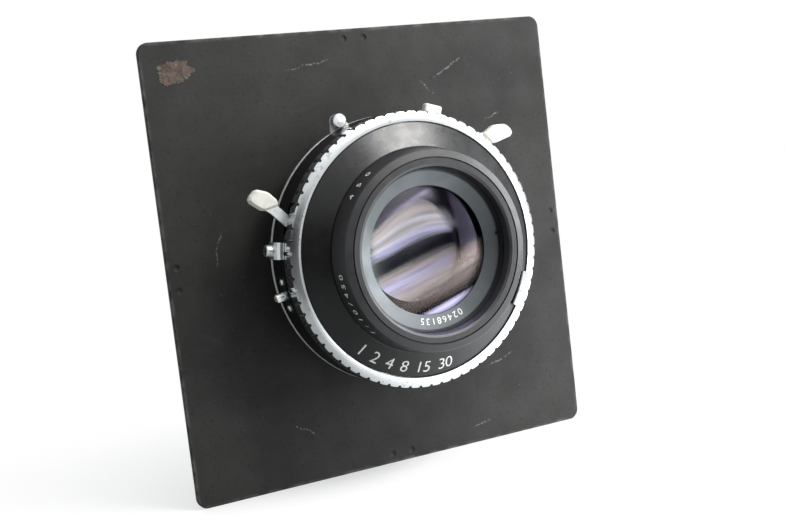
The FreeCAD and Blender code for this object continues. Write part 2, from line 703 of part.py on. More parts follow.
# ================================================================ side fittings
def cable_release_socket():
    """Tube for the cable release, with the pressed cover that holds it against the shutter's side."""
    start, end = BODY_INNER_R + 0.1, SOCKET_END
    tube = lathe([
        (SOCKET_HOLE_R, start), (SOCKET_R, start), (SOCKET_R, end - 0.3), (SOCKET_R - 0.3, end),
        (SOCKET_HOLE_R, end),
    ])
    low, high = FLOOR_BACK_Z + 0.1, RING_Z[0] - 0.6
    half = (high - low) / 2
    turns = [math.pi * k / 8 for k in range(9)]
    bulge = [(BODY_R + 0.3 + SADDLE_BULGE * math.sin(t), low + half - half * math.cos(t)) for t in turns]
    swing = math.degrees(SADDLE_HALF / BODY_R)
    cover = spun(lathe([(BODY_R, low)] + bulge + [(BODY_R, high)], 2 * swing), SOCKET_ANGLE - swing)
    hole = radial(cylinder(SOCKET_HOLE_R, 40, 60), SOCKET_ANGLE, FITTING_Z)
    return fuse(cover, radial(tube, SOCKET_ANGLE, FITTING_Z)).cut(hole)


def terminal_screw_holes():
    angles = [TERMINAL_ANGLE + side * TERMINAL_SCREW for side in (-1, 1)]
    return [radial(cylinder(0.62, 44, 60), a, TERMINAL_Z) for a in angles]


def flash_terminal_flange():
    z0, z1 = TERMINAL_Z - 2.3, TERMINAL_Z + 2.3
    flange = sector_ring(BODY_R, BODY_R + TERMINAL_SEAT, z0, z1, TERMINAL_ANGLE - 7.6, 15.2)
    holes = [radial(cylinder(TERMINAL_NECK_R + 0.02, 40, 60), TERMINAL_ANGLE, TERMINAL_Z)]
    return flange.cut(holes + terminal_screw_holes())


def flash_terminal_post():
    start, seat, end = BODY_INNER_R + 0.1, BODY_R + TERMINAL_SEAT, TERMINAL_END
    post = lathe([
        (1.0, start), (TERMINAL_NECK_R, start), (TERMINAL_NECK_R, seat), (TERMINAL_R, seat),
        (TERMINAL_R, end - 0.3), (TERMINAL_R - 0.3, end), (1.0, end),
    ])
    return radial(post, TERMINAL_ANGLE, TERMINAL_Z)


def flash_terminal_insulator():
    return radial(annulus(0.45, 1.0, BODY_INNER_R + 0.1, TERMINAL_END - 0.8), TERMINAL_ANGLE, TERMINAL_Z)


def flash_terminal_contact():
    pin = lathe([(0, BODY_INNER_R), (0.45, BODY_INNER_R), (0.45, TERMINAL_END - 0.3), (0, TERMINAL_END - 0.1)])
    return radial(pin, TERMINAL_ANGLE, TERMINAL_Z)


def flash_terminal_screws():
    seat = BODY_R + TERMINAL_SEAT
    head = lathe([
        (0, seat - 1.6), (0.6, seat - 1.6), (0.6, seat), (1.15, seat), (1.15, seat + 0.3), (0.7, seat + 0.6),
        (0, seat + 0.7),
    ])
    head = head.cut(Part.makeBox(0.3, 3.0, 1.0, Vector(-0.15, -1.5, seat + 0.35)))
    angles = [TERMINAL_ANGLE + side * TERMINAL_SCREW for side in (-1, 1)]
    return Part.makeCompound([radial(head, a, TERMINAL_Z) for a in angles])


# ================================================================ optics
def front_cell_barrel():
    base = TUBE_TOP_Z + 0.1
    return lathe([
        (CELL_BASE_R - 0.2, base), (CELL_BASE_R, base + 0.2), (CELL_FRONT_R, CELL_FRONT_Z - 0.9),
        (CELL_FRONT_R - 0.25, CELL_FRONT_Z - 0.6), (FILTER_OUT + 0.35, CELL_FRONT_Z),
        (FILTER_OUT + 0.35, 45.2), (FILTER_OUT, 45.2), (FILTER_OUT, 41.2), (27.9, 41.2), (27.9, 39.2),
        (23.6, 38.4), (23.6, 26.1), (18.8, 26.1), (18.8, 22.9), (17.9, 22.9), (17.9, 22.4),
        (CELL_THREAD_R - RUN, 22.4), (CELL_THREAD_R - RUN, base),
    ])


def filter_ring():
    return lathe([
        (27.95, 41.2), (27.95, 42.0), (FILTER_R, 42.0), (FILTER_R, CELL_FRONT_Z - 0.4),
        (FILTER_R + 0.9, CELL_FRONT_Z), (FILTER_OUT - 0.2, CELL_FRONT_Z),
        (FILTER_OUT, CELL_FRONT_Z - 0.2), (FILTER_OUT, 41.2),
    ])


def front_bevel_ring():
    """Conical retaining ring round the front glass, with two spanner slots."""
    (r0, z0), (r1, z1) = BEVEL_FRONT, GLASS_EDGE
    ring = lathe([
        (r1, z1), (r0, z0), (27.85, z0), (27.85, 39.32), (23.7, 38.53), (r1, z1 - 0.35),
    ])
    slots = [spun(Part.makeBox(1.6, 1.3, 1.2, Vector(26.6, -0.65, z0 - 0.7)), a) for a in (5, 185)]
    return ring.cut(slots)


def front_element_outer():
    return lens_element(23.4, 38.05, 88.0, 35.75, 260.0)


def front_element_inner():
    return lens_element(18.7, 26.0, -200.0, 23.0, -160.0)


def front_spacer():
    return lathe([(17.9, 26.15), (23.5, 26.15), (23.5, 34.55), (22.9, 34.55), (17.9, 27.4)])


def rear_cell_barrel():
    seat = -BOSS_LENGTH
    return lathe([
        (CELL_THREAD_R - RUN, SEAT_Z - 0.2), (CELL_THREAD_R - RUN, seat), (31.8, seat), (32.0, seat - 0.2),
        (32.0, seat - 3.0), (31.4, seat - 3.4), (30.2, seat - 3.4), (30.2, -26.0), (29.8, -26.4),
        (27.0, -26.4), (27.0, -22.4), (23.5, -20.2), (23.5, -15.6), (21.9, -15.6), (21.9, -3.0),
        (23.8, SEAT_Z - 0.2),
    ])


def rear_bevel_ring():
    ring = lathe([(26.95, -25.2), (26.0, -25.2), (22.2, -21.2), (22.2, -20.6), (23.6, -20.3), (26.95, -22.45)])
    slots = [spun(Part.makeBox(1.6, 1.3, 1.2, Vector(25.8, -0.65, -25.4)), a) for a in (90, 270)]
    return ring.cut(slots)


def rear_element_inner():
    return lens_element(21.7, -5.0, -105.0, -11.0, -130.0)


def rear_element_outer():
    return lens_element(23.3, -15.9, 240.0, -20.2, 92.0)


# ================================================================ export
def export(name, shape):
    """Turns the optical axis from +Z to -Y, so that the row frame has +Z up, and writes the STEP."""
    solid = shape.copy()
    solid.rotate(ORIGIN, X, 90)
    if not solid.isValid():
        print("not valid:", name)
    if any(s.Volume <= 0 for s in solid.Solids) or not solid.Solids:
        print("bad solids:", name)
    if solid.ShapeType != "Compound" or len(solid.Solids) == 1:
        solid = solid.Solids[0]
    solid.exportStep("parts/%s.step" % name)


PIECES = [
    lens_board, light_trap_frame, retaining_ring, locating_screw, shutter_housing, aperture_ring_retainer,
    aperture_ring, aperture_knob, iris_ring, iris_drive_arm, iris_retainer, blade_plate, blade_ring,
    preview_tab_cap, mechanism_plate, spacer_posts, mechanism_screws, cocking_ring, cocking_lever_cap,
    release_lever, release_lever_cap, main_spring, release_spring, retard_gear, escape_wheel, pallet,
    speed_ring, speed_cam_ring, front_plate, cable_release_socket, flash_terminal_flange, flash_terminal_post,
    flash_terminal_insulator, flash_terminal_contact, flash_terminal_screws, front_cell_barrel, filter_ring,
    front_bevel_ring, front_element_outer, front_element_inner, front_spacer, rear_cell_barrel, rear_bevel_ring,
    rear_element_inner, rear_element_outer,
]


def main():
    os.makedirs("parts", exist_ok=True)
    for piece in PIECES:
        export(piece.__name__, piece())
    for i in range(IRIS_COUNT):
        export("iris_blade_%02d" % (i + 1), iris_blade(i))
    for i in range(LEAF_COUNT):
        export("shutter_blade_%d" % (i + 1), shutter_blade(i))


main()
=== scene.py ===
"""Looks of a large-format lens in a leaf shutter on a square lens board.

The CAD nodes keep their shapes and get materials here. The four glass elements are rebuilt as smooth meshes.
Pieces that the CAD doesn't hold, such as engraved numbers, the filter thread and a scrap of old sticker, are
made in mesh code. Like the CAD source, this script places things in the shutter's own frame: millimetres, with
the optical axis as +Z towards the front, X to the right and Y up.
"""

import json
import math
import random

import bmesh
import bpy
from mathutils import Matrix, Vector, noise

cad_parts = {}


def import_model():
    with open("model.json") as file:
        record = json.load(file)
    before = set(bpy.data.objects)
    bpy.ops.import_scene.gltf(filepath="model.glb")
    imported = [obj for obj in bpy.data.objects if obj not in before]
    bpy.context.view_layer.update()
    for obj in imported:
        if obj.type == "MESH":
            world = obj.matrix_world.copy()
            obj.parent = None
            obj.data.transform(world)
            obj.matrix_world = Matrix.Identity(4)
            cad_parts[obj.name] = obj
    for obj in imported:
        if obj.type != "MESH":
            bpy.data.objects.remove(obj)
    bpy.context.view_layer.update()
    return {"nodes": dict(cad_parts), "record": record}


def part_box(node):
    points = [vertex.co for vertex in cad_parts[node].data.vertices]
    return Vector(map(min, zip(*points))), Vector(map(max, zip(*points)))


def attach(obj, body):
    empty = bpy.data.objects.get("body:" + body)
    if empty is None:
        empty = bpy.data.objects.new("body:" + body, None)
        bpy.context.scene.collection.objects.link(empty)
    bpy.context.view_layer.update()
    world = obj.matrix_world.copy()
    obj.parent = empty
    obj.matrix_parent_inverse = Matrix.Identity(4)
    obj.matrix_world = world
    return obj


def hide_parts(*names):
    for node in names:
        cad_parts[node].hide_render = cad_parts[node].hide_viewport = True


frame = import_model()

MM = 0.001
BODY = "fixed"

# Sizes in mm, taken from the nodes' boxes where a box shows them. In the row frame, a box spans x, -z and y of
# the shutter's frame.
BOARD_LOW, BOARD_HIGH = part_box("lens_board")
BOARD_HALF = BOARD_HIGH.x / MM
FLOOR_Z = BOARD_LOW.z
CONE_OUT = (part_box("front_plate")[1].x / MM, 32.2)
CONE_IN = (35.9, -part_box("front_plate")[0].y / MM)
BARREL_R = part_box("front_cell_barrel")[1].x / MM
BEVEL_FRONT_Z = -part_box("front_bevel_ring")[0].y / MM
BEVEL_OUT = (27.2, BEVEL_FRONT_Z)
BEVEL_IN = (22.3, 38.8)
HOUSING_R = 48.1
FILTER_R = 28.6
THREAD_FROM = 42.05  # height where the filter thread starts
THREAD_PITCH = 0.75
THREAD_TURNS = 4

# The aperture ring's bent tab: its direction, its start, its half width at the axis and how fast it narrows.
TAB_ANGLE = 110.4
TAB_START = 45.7
TAB_HALF = 25.0
TAB_TAPER = 0.44

# node: radius, height of the front edge, front curve, height of the back edge, back curve.
# A curve is a radius of curvature, positive where the face bulges outward.
LENSES = {
    "front_element_outer": (23.4, 38.05, 88.0, 35.75, 260.0),
    "front_element_inner": (18.7, 26.0, -200.0, 23.0, -160.0),
    "rear_element_inner": (21.7, -5.0, -105.0, -11.0, -130.0),
    "rear_element_outer": (23.3, -15.9, 240.0, -20.2, 92.0),
}

# Where the camera stands, in the row frame, what it looks at and how far it leans.
CAMERA_PLACE = Vector((-199.3, -409.6, 36.9)) * MM
CAMERA_AIM = Vector((3.9, -2.5, -5.6)) * MM
CAMERA_ROLL = 6.73
CAMERA_LENS = 56.45


# ================================================================ places
def row(x, y, z):
    """A point in the shutter's frame (mm) as a point in the row frame (m)."""
    return Vector((x, -z, y)) * MM


def polar(radius, angle, z):
    a = math.radians(angle)
    return row(radius * math.cos(a), radius * math.sin(a), z)


# ================================================================ node helpers
class Nodes:
    """A node tree being built, with short ways to add and join nodes."""

    def __init__(self, owner, output="OutputMaterial"):
        owner.use_nodes = True
        self.owner = owner
        self.tree = owner.node_tree
        self.tree.nodes.clear()
        self.output = self.add(output)
        self.coordinates = self.add("TexCoord")
        self.place = self.coordinates.outputs["Object"]

    def add(self, kind, inputs=None, **settings):
        node = self.tree.nodes.new("ShaderNode" + kind)
        for key, value in settings.items():
            setattr(node, key, value)
        for key, value in (inputs or {}).items():
            self.put(node.inputs[key], value)
        return node

    def put(self, socket, value):
        if isinstance(value, bpy.types.NodeSocket):
            self.tree.links.new(value, socket)
        elif isinstance(value, bpy.types.Node):
            self.tree.links.new(value.outputs[0], socket)
        elif isinstance(value, tuple) and len(value) == 3 and socket.type == "RGBA":
            socket.default_value = (*value, 1.0)
        else:
            socket.default_value = value

    def math(self, operation, a, b=0.0, c=0.0, clamp=False):
        return self.add("Math", {0: a, 1: b, 2: c}, operation=operation, use_clamp=clamp).outputs[0]

    def sum(self, first, *others):
        for other in others:
            first = self.math("ADD", first, other)
        return first

    def product(self, first, *others):
        for other in others:
            first = self.math("MULTIPLY", first, other)
        return first

    def dot(self, vector, x, y, z):
        return self.add("VectorMath", {0: vector, 1: (x, y, z)}, operation="DOT_PRODUCT").outputs["Value"]

    def noise(self, scale, detail=2.0, rough=0.5, where=None, distortion=0.0):
        values = {"Scale": scale, "Detail": detail, "Roughness": rough, "Distortion": distortion}
        values["Vector"] = where or self.place
        return self.add("TexNoise", values).outputs["Fac"]

    def ramp(self, value, low, high, to_low=0.0, to_high=1.0):
        values = {"Value": value, "From Min": low, "From Max": high, "To Min": to_low, "To Max": to_high}
        return self.add("MapRange", values, interpolation_type="SMOOTHSTEP").outputs[0]

    def colors(self, value, low, high, stops):
        """Colour along value, through (value, (red, green, blue)) stops."""
        place = self.add("MapRange", {"Value": value, "From Min": low, "From Max": high})
        node = self.add("ValToRGB", {0: place})
        elements = node.color_ramp.elements
        while len(elements) < len(stops):
            elements.new(0.5)
        for element, (at, color) in zip(elements, stops):
            element.position = (at - low) / (high - low)
            element.color = (*color, 1.0)
        return node.outputs[0]

    def mix(self, factor, a, b):
        node = self.add("Mix", data_type="RGBA")
        for index, value in ((0, factor), (6, a), (7, b)):
            self.put(node.inputs[index], value)
        return node.outputs[2]

    def axes(self):
        """Right, forward and up of the shutter's frame, as x, z and y in metres."""
        parts = self.add("SeparateXYZ", {0: self.place})
        return parts.outputs[0], self.math("MULTIPLY", parts.outputs[1], -1.0), parts.outputs[2]

    def radius(self):
        """Distance from the optical axis."""
        x, _, y = self.axes()
        return self.math("SQRT", self.sum(self.product(x, x), self.product(y, y)))

    def bump(self, height, distance, strength=1.0):
        return self.add("Bump", {"Height": height, "Distance": distance, "Strength": strength}).outputs[0]

    def principled(self, color, rough, metallic=0.0, normal=None, **more):
        values = {"Base Color": color, "Roughness": rough, "Metallic": metallic}
        values.update({key.replace("_", " "): value for key, value in more.items()})
        if normal is not None:
            values["Normal"] = normal
        return self.add("BsdfPrincipled", values).outputs[0]

    def blend(self, factor, a, b):
        return self.add("MixShader", {0: factor, 1: a, 2: b}).outputs[0]

    def finish(self, surface):
        self.put(self.output.inputs["Surface"], surface)
        return self.owner


def new_material(name):
    return Nodes(bpy.data.materials.new(name))


# ================================================================ materials
def turning_marks(s, pitch=0.00012, strength=0.25):
    """Fine concentric lines left by a lathe, of uneven depth."""
    wave = s.math("SINE", s.math("MULTIPLY", s.radius(), 2 * math.pi / pitch))
    return s.bump(s.product(wave, s.noise(90.0)), 0.000006, strength)


def specks(s, scale, size):
    """Small round dust specks: 1 on a speck, else 0."""
    cells = s.add("TexVoronoi", {"Vector": s.place, "Scale": scale})
    chosen = s.ramp(s.noise(scale * 0.21), 0.52, 0.66)
    return s.product(s.ramp(cells.outputs["Distance"], size, size * 0.4), chosen)


def scratch(s, centre, angle, length, width, seed):
    """One light scratch on the board's face: 1 on it, fading to 0 at its sides and ends."""
    x, _, y = s.axes()
    dx = s.math("SUBTRACT", x, centre[0] * MM)
    dy = s.math("SUBTRACT", y, centre[1] * MM)
    c, si = math.cos(math.radians(angle)), math.sin(math.radians(angle))
    along = s.sum(s.product(dx, c), s.product(dy, si))
    across = s.math("SUBTRACT", s.product(dy, c), s.product(dx, si))
    wander = s.product(s.math("SUBTRACT", s.noise(110.0 + 7 * seed), 0.5), 0.0035)
    line = s.ramp(s.math("ABSOLUTE", s.sum(across, wander)), width * MM, 0.25 * width * MM)
    ends = s.ramp(s.math("ABSOLUTE", along), length * MM / 2, length * MM / 4)
    broken = s.ramp(s.noise(900.0 + 31 * seed, 4.0), 0.42, 0.6)
    return s.product(line, ends, broken)


def board_scratches(s):
    """All scratches on the board: x, y, angle, length and width of each, in mm and degrees."""
    scratches = (
        (38.0, 64.0, 28.0, 17.0, 0.5), (28.0, 57.0, -50.0, 9.0, 0.35), (47.0, -51.0, 18.0, 15.0, 0.45),
        (-38.0, -61.0, -30.0, 12.0, 0.35), (36.0, -74.0, 12.0, 9.0, 0.4), (-62.0, 8.0, 75.0, 14.0, 0.3),
        (66.0, 6.0, -65.0, 10.0, 0.3), (-20.0, 69.0, 8.0, 22.0, 0.3), (55.0, 44.0, 24.0, 8.0, 0.5),
    )
    marks = 0.0
    for seed, (cx, cy, angle, length, width) in enumerate(scratches):
        marks = s.math("MAXIMUM", marks, scratch(s, (cx, cy), angle, length, width, seed))
    return marks


def board_paint():
    """Matt black paint with a fine grain, rubbed edges, smears, scratches and dust."""
    s = new_material("board_paint")
    x, _, y = s.axes()
    grain = s.noise(1500.0, 3.0, 0.6)
    color = s.mix(s.ramp(s.noise(26.0, 5.0, 0.62), 0.3, 0.72), (0.014, 0.014, 0.0132), (0.025, 0.025, 0.0235))
    smear = s.ramp(s.noise(34.0, 6.0, 0.7, distortion=1.2), 0.55, 0.78)
    color = s.mix(s.product(smear, 0.5), color, (0.036, 0.036, 0.033))
    color = s.mix(s.ramp(grain, 0.58, 0.8, 0.0, 0.65), color, (0.052, 0.051, 0.047))
    color = s.mix(s.ramp(s.noise(700.0, 2.0), 0.42, 0.30, 0.0, 0.5), color, (0.006, 0.006, 0.006))
    reach = s.math("MAXIMUM", s.math("ABSOLUTE", x), s.math("ABSOLUTE", y))
    edge = s.ramp(reach, (BOARD_HALF - 1.6) * MM, BOARD_HALF * MM)
    rubbed = s.product(edge, s.ramp(s.noise(160.0, 4.0), 0.38, 0.68), 0.7)
    color = s.mix(rubbed, color, (0.12, 0.11, 0.10))
    color = s.mix(s.product(board_scratches(s), 0.42), color, (0.26, 0.25, 0.24))
    color = s.mix(s.product(specks(s, 420.0, 0.10), 0.5), color, (0.16, 0.15, 0.14))
    rough = s.ramp(s.noise(60.0, 3.0), 0.3, 0.7, 0.56, 0.70)
    normal = s.bump(s.sum(grain, s.product(s.noise(520.0, 2.0), 0.8)), 0.00006, 0.55)
    return s.finish(s.principled(color, rough, normal=normal, Specular_IOR_Level=0.22))


def black_surface(s, rough, base, shine):
    tone = s.ramp(s.noise(70.0, 3.0), 0.3, 0.7)
    color = s.mix(tone, (base, base, base * 1.1), (base * 1.6, base * 1.6, base * 1.75))
    color = s.mix(s.product(specks(s, 900.0, 0.09), 0.35), color, (0.1, 0.095, 0.09))
    roughness = s.ramp(s.noise(240.0, 4.0), 0.25, 0.75, rough - 0.04, rough + 0.06)
    return s.principled(color, roughness, normal=turning_marks(s), Specular_IOR_Level=shine)


def satin_black(name="black_metal", rough=0.32, base=0.007, shine=0.4):
    """Black enamelled metal, turned on a lathe, with a little dust."""
    s = new_material(name)
    return s.finish(black_surface(s, rough, base, shine))


def anodised_black(name, rough, gleam):
    """Black anodised aluminium: gleam is how much of the metal's own shine comes through."""
    s = new_material(name)
    tone = s.ramp(s.noise(80.0, 3.0), 0.3, 0.7, 0.85, 1.1)
    color = s.mix(tone, (0.0, 0.0, 0.0), (gleam * 0.92, gleam, gleam * 1.06))
    color = s.mix(s.product(specks(s, 900.0, 0.09), 0.3), color, (0.2, 0.19, 0.18))
    roughness = s.ramp(s.noise(240.0, 4.0), 0.25, 0.75, rough - 0.04, rough + 0.06)
    return s.finish(s.principled(color, roughness, 0.9, turning_marks(s)))


def chrome_surface(s, rough):
    smudge = s.noise(120.0, 4.0, 0.6)
    color = s.mix(s.ramp(smudge, 0.35, 0.75), (0.80, 0.82, 0.83), (0.68, 0.70, 0.71))
    grime = s.ramp(s.noise(420.0, 3.0), 0.62, 0.72, 0.0, 0.35)
    color = s.mix(grime, color, (0.22, 0.20, 0.18))
    normal = s.bump(s.noise(1300.0, 2.0), 0.000008, 0.25)
    return s.principled(color, s.ramp(smudge, 0.3, 0.8, rough, rough + 0.12), 1.0, normal)


def chrome(name="chrome", rough=0.14):
    s = new_material(name)
    return s.finish(chrome_surface(s, rough))


def aperture_ring_finish():
    """Black ring with a pale bent tab and a pale turned-metal rim. The rim is a painted highlight that stands
    in for the light a chamfer on its edge catches.
    """
    s = new_material("aperture_ring_finish")
    x, _, y = s.axes()
    a = math.radians(TAB_ANGLE)
    along = s.sum(s.product(x, math.cos(a)), s.product(y, math.sin(a)))
    across = s.math("ABSOLUTE", s.sum(s.product(y, math.cos(a)), s.product(x, -math.sin(a))))
    # Painted highlight: the outer rim is pale metal that stands in for light caught by a chamfer.
    rim = s.ramp(s.radius(), (HOUSING_R - 0.55) * MM, (HOUSING_R - 0.45) * MM)
    taper = s.sum(across, s.product(along, TAB_TAPER))
    begins = s.ramp(along, (TAB_START - 0.1) * MM, TAB_START * MM)
    within = s.ramp(taper, (TAB_HALF + 0.1) * MM, (TAB_HALF - 0.1) * MM)
    tab = s.product(begins, within)
    painted_rim_highlight_and_tab = s.math("MAXIMUM", rim, tab)
    turned = s.principled((0.86, 0.87, 0.87), s.ramp(s.noise(300.0), 0.3, 0.7, 0.38, 0.5), 0.55)
    return s.finish(s.blend(painted_rim_highlight_and_tab, black_surface(s, 0.3, 0.006, 0.35), turned))


def steel():
    s = new_material("steel")
    grain = s.noise(800.0, 3.0)
    color = s.mix(grain, (0.50, 0.50, 0.51), (0.64, 0.64, 0.65))
    return s.finish(s.principled(color, 0.3, 1.0, s.bump(grain, 0.00001, 0.4)))


def brass():
    s = new_material("brass")
    stain = s.noise(150.0, 4.0)
    color = s.mix(s.ramp(stain, 0.35, 0.7), (0.72, 0.52, 0.25), (0.50, 0.35, 0.16))
    return s.finish(s.principled(color, s.ramp(stain, 0.3, 0.7, 0.22, 0.4), 1.0, turning_marks(s)))


def blade_steel():
    """Blackened spring steel of the leaves, with faint rub marks."""
    s = new_material("blade_steel")
    rub = s.noise(95.0, 5.0, 0.65, distortion=1.5)
    color = s.mix(s.ramp(rub, 0.4, 0.75), (0.008, 0.008, 0.009), (0.022, 0.022, 0.024))
    return s.finish(s.principled(color, s.ramp(rub, 0.3, 0.7, 0.34, 0.5), 0.6))


def white_tip():
    """Off-white moulded lever caps, worn and a little grimy."""
    s = new_material("white_tip")
    stain = s.noise(330.0, 4.0, 0.6)
    color = s.mix(s.ramp(stain, 0.46, 0.80), (0.56, 0.555, 0.50), (0.42, 0.40, 0.34))
    color = s.mix(s.product(specks(s, 1100.0, 0.14), 0.5), color, (0.14, 0.12, 0.09))
    normal = s.bump(s.noise(1400.0, 3.0), 0.00003, 0.35)
    return s.finish(s.principled(color, 0.42, normal=normal, Specular_IOR_Level=0.4))


def insulator():
    s = new_material("insulator")
    color = s.mix(s.noise(600.0, 2.0), (0.60, 0.56, 0.47), (0.72, 0.69, 0.60))
    return s.finish(s.principled(color, 0.45))


def paint_white():
    """White paint in the engraved numbers."""
    s = new_material("paint_white")
    color = s.mix(s.ramp(s.noise(700.0, 3.0), 0.5, 0.8), (0.78, 0.78, 0.75), (0.5, 0.49, 0.46))
    return s.finish(s.principled(color, 0.5, normal=s.bump(s.noise(2500.0), 0.00002, 0.3)))


# Colours of the painted reflections in the glass.
DARK, LILAC, ROSE = (0.0, 0.0, 0.0), (0.56, 0.51, 0.72), (0.50, 0.42, 0.40)
VIOLET, UMBER, PALE = (0.34, 0.30, 0.60), (0.24, 0.19, 0.17), (0.66, 0.61, 0.65)
ASH = (0.22, 0.21, 0.24)


def streaks(s, half_width, slope, bow, shift, stops, seed):
    """Painted reflections: coloured streaks that stand in for mirrored lamps, tinted as the coating tints
    them, drawn as the colour of a face's mirror. They slide as the view turns.
    """
    x, _, y = s.axes()
    incoming = s.add("NewGeometry").outputs["Incoming"]
    aside = s.product(s.math("SUBTRACT", s.dot(incoming, 1.0, 0.0, 0.0), -0.43), 1.2)
    above = s.product(s.math("SUBTRACT", s.dot(incoming, 0.0, 0.0, 1.0), 0.09), 1.2)
    across = s.sum(s.product(x, 1 / (half_width * MM)), aside, shift)
    height = s.sum(s.product(y, 1 / (half_width * MM)), above)
    lift = s.math("ADD", height, 0.15, clamp=True)
    level = s.sum(height, s.product(across, -slope), s.product(across, across, lift, bow))
    thread = s.add("CombineXYZ", {0: s.product(level, 7.0), 1: s.product(across, 0.6), 2: seed}).outputs[0]
    level = s.sum(level, s.product(s.math("SUBTRACT", s.noise(0.5, 1.0, 0.5, thread), 0.5), 0.14))
    fine = s.ramp(s.noise(1.2, 1.0, 0.5, thread), 0.36, 0.58, 0.66, 0.92)
    color = s.colors(level, -1.2, 1.2, stops)
    return s.mix(fine, (0.0, 0.0, 0.0), color), across, level


def coated_glass_painted_reflections(name, half_width, slope, bow, shift, stops, seed, dark_side):
    """Clear glass whose mirror colour is a painted reflection: coloured streaks, tinted as the coating tints
    them, which fade out at the upper right and far left.
    """
    s = new_material(name)
    color, across, level = streaks(s, half_width, slope, bow, shift, stops, seed)
    outside = s.math("SUBTRACT", 1.0, s.add("NewGeometry").outputs["Backfacing"])
    end = s.sum(across, s.product(level, 0.5))
    # Painted reflection: dark at the upper right, then a dim grey-green at the far left.
    upper_right = s.product(s.ramp(end, dark_side, dark_side + 0.22), s.ramp(level, -0.05, 0.05))
    color = s.mix(upper_right, color, (0.0, 0.0, 0.0))
    color = s.mix(s.ramp(across, -0.72, -1.0), color, (0.10, 0.11, 0.10))
    tint = s.add("SeparateColor", {0: color}, mode="HSV")
    share = s.product(tint.outputs[2], outside)
    full = s.add("CombineColor", {0: tint.outputs[0], 1: tint.outputs[1], 2: 1.0}, mode="HSV").outputs[0]
    mirror = s.add("BsdfGlossy", {"Color": full, "Roughness": 0.34}).outputs[0]
    clear = s.add("BsdfRefraction", {"Color": (0.93, 0.94, 0.95), "Roughness": 0.0, "IOR": 1.12}).outputs[0]
    sheen = s.add("BsdfGlossy", {"Color": (0.75, 0.7, 1.0), "Roughness": 0.02}).outputs[0]
    facing = s.add("LayerWeight", {"Blend": 0.3}).outputs["Facing"]
    glass = s.blend(s.ramp(facing, 0.1, 1.0, 0.004, 0.3), clear, sheen)
    return s.finish(s.blend(share, glass, mirror))


def front_glass():
    stops = (
        (-1.05, VIOLET), (-0.90, LILAC), (-0.80, DARK), (-0.68, UMBER), (-0.46, ROSE), (-0.30, UMBER),
        (-0.14, DARK), (0.12, DARK), (0.28, ASH), (0.50, ASH), (0.62, DARK), (0.78, ASH), (0.88, LILAC),
        (0.96, ASH),
    )
    dim = tuple((at, tuple(0.28 * c for c in color)) for at, color in stops[3:])
    return coated_glass_painted_reflections("glass_front", 22.0, 0.30, 0.25, 0.0, stops[:3] + dim, 1.0, 0.40)


def inner_glass():
    stops = (
        (-1.1, UMBER), (-0.82, ROSE), (-0.48, LILAC), (-0.36, ROSE), (-0.14, DARK), (0.06, DARK),
        (0.24, LILAC), (0.34, PALE), (0.42, ROSE), (0.52, PALE), (0.62, ROSE), (0.74, ROSE), (0.92, DARK),
    )
    return coated_glass_painted_reflections("glass_inner", 18.0, 0.29, 0.55, 0.0, stops, 4.0, 0.84)


def rear_glass():
    stops = (
        (-1.1, DARK), (-0.8, LILAC), (-0.62, UMBER), (-0.4, DARK), (0.1, DARK), (0.3, ROSE), (0.45, LILAC),
        (0.6, DARK), (1.0, VIOLET),
    )
    return coated_glass_painted_reflections("glass_rear", 22.0, -0.3, 0.4, 0.0, stops, 7.0, 0.6)


def residue_paper():
    """Brown paper and glue left by a torn-off label."""
    s = new_material("residue_paper")
    torn = s.noise(420.0, 5.0, 0.7, distortion=0.8)
    color = s.mix(s.ramp(torn, 0.35, 0.62), (0.030, 0.018, 0.012), (0.082, 0.055, 0.042))
    color = s.mix(s.ramp(s.noise(900.0, 4.0), 0.60, 0.74), color, (0.15, 0.13, 0.11))
    return s.finish(s.principled(color, 0.8, normal=s.bump(torn, 0.0003, 0.7)))


def residue_rim():
    s = new_material("residue_rim")
    fibre = s.noise(1100.0, 4.0)
    color = s.mix(s.ramp(fibre, 0.4, 0.7), (0.030, 0.030, 0.024), (0.13, 0.125, 0.10))
    return s.finish(s.principled(color, 0.85, normal=s.bump(fibre, 0.0002, 0.6)))


def photographer_shade(s, direction):
    """1 towards the dark place where the camera stands, 0 elsewhere."""
    tall = s.product(s.math("ABSOLUTE", s.dot(direction, 0.0, 0.0, 1.0)), -0.6)
    return s.ramp(s.sum(s.dot(direction, -0.45, -0.89, 0.0), tall), 0.62, 0.90)


def backdrop():
    """Pale floor that turns to plain white away from the object. To every ray but the camera's it is a glow,
    painted light that is strongest to the right near the object, and its mirrored image is dimmer to the left.
    """
    s = new_material("backdrop")
    x, forward, _ = s.axes()
    away = s.math("SQRT", s.sum(s.product(x, x), s.product(forward, forward)))
    tone = s.mix(s.ramp(s.noise(3.0), 0.3, 0.7), (0.84, 0.85, 0.84), (0.87, 0.88, 0.87))
    floor = s.principled(tone, 0.45, Specular_IOR_Level=0.3)
    white = s.add("Emission", {"Color": (1.0, 1.0, 1.0), "Strength": 1.0}).outputs[0]
    seen = s.blend(s.ramp(away, 0.0, 0.22, 0.34, 1.0), floor, white)
    direction = s.add("VectorMath", {0: s.place}, operation="NORMALIZE").outputs[0]
    # Painted light: for lighting and mirror rays the floor glows, weak at the left and up to 3.2 near the
    # object's right, dim towards the camera.
    near = s.ramp(x, -0.06, 0.13, 0.45, 3.2)
    far = s.ramp(photographer_shade(s, direction), 0.0, 1.0, 1.0, 0.12)
    level = s.sum(s.product(near, s.ramp(away, 0.45, 0.2)), s.product(far, s.ramp(away, 0.2, 0.45)))
    mirrored = s.add("Emission", {"Color": (0.96, 0.99, 1.0), "Strength": level}).outputs[0]
    return s.finish(s.blend(s.add("LightPath").outputs["Is Camera Ray"], mirrored, seen))


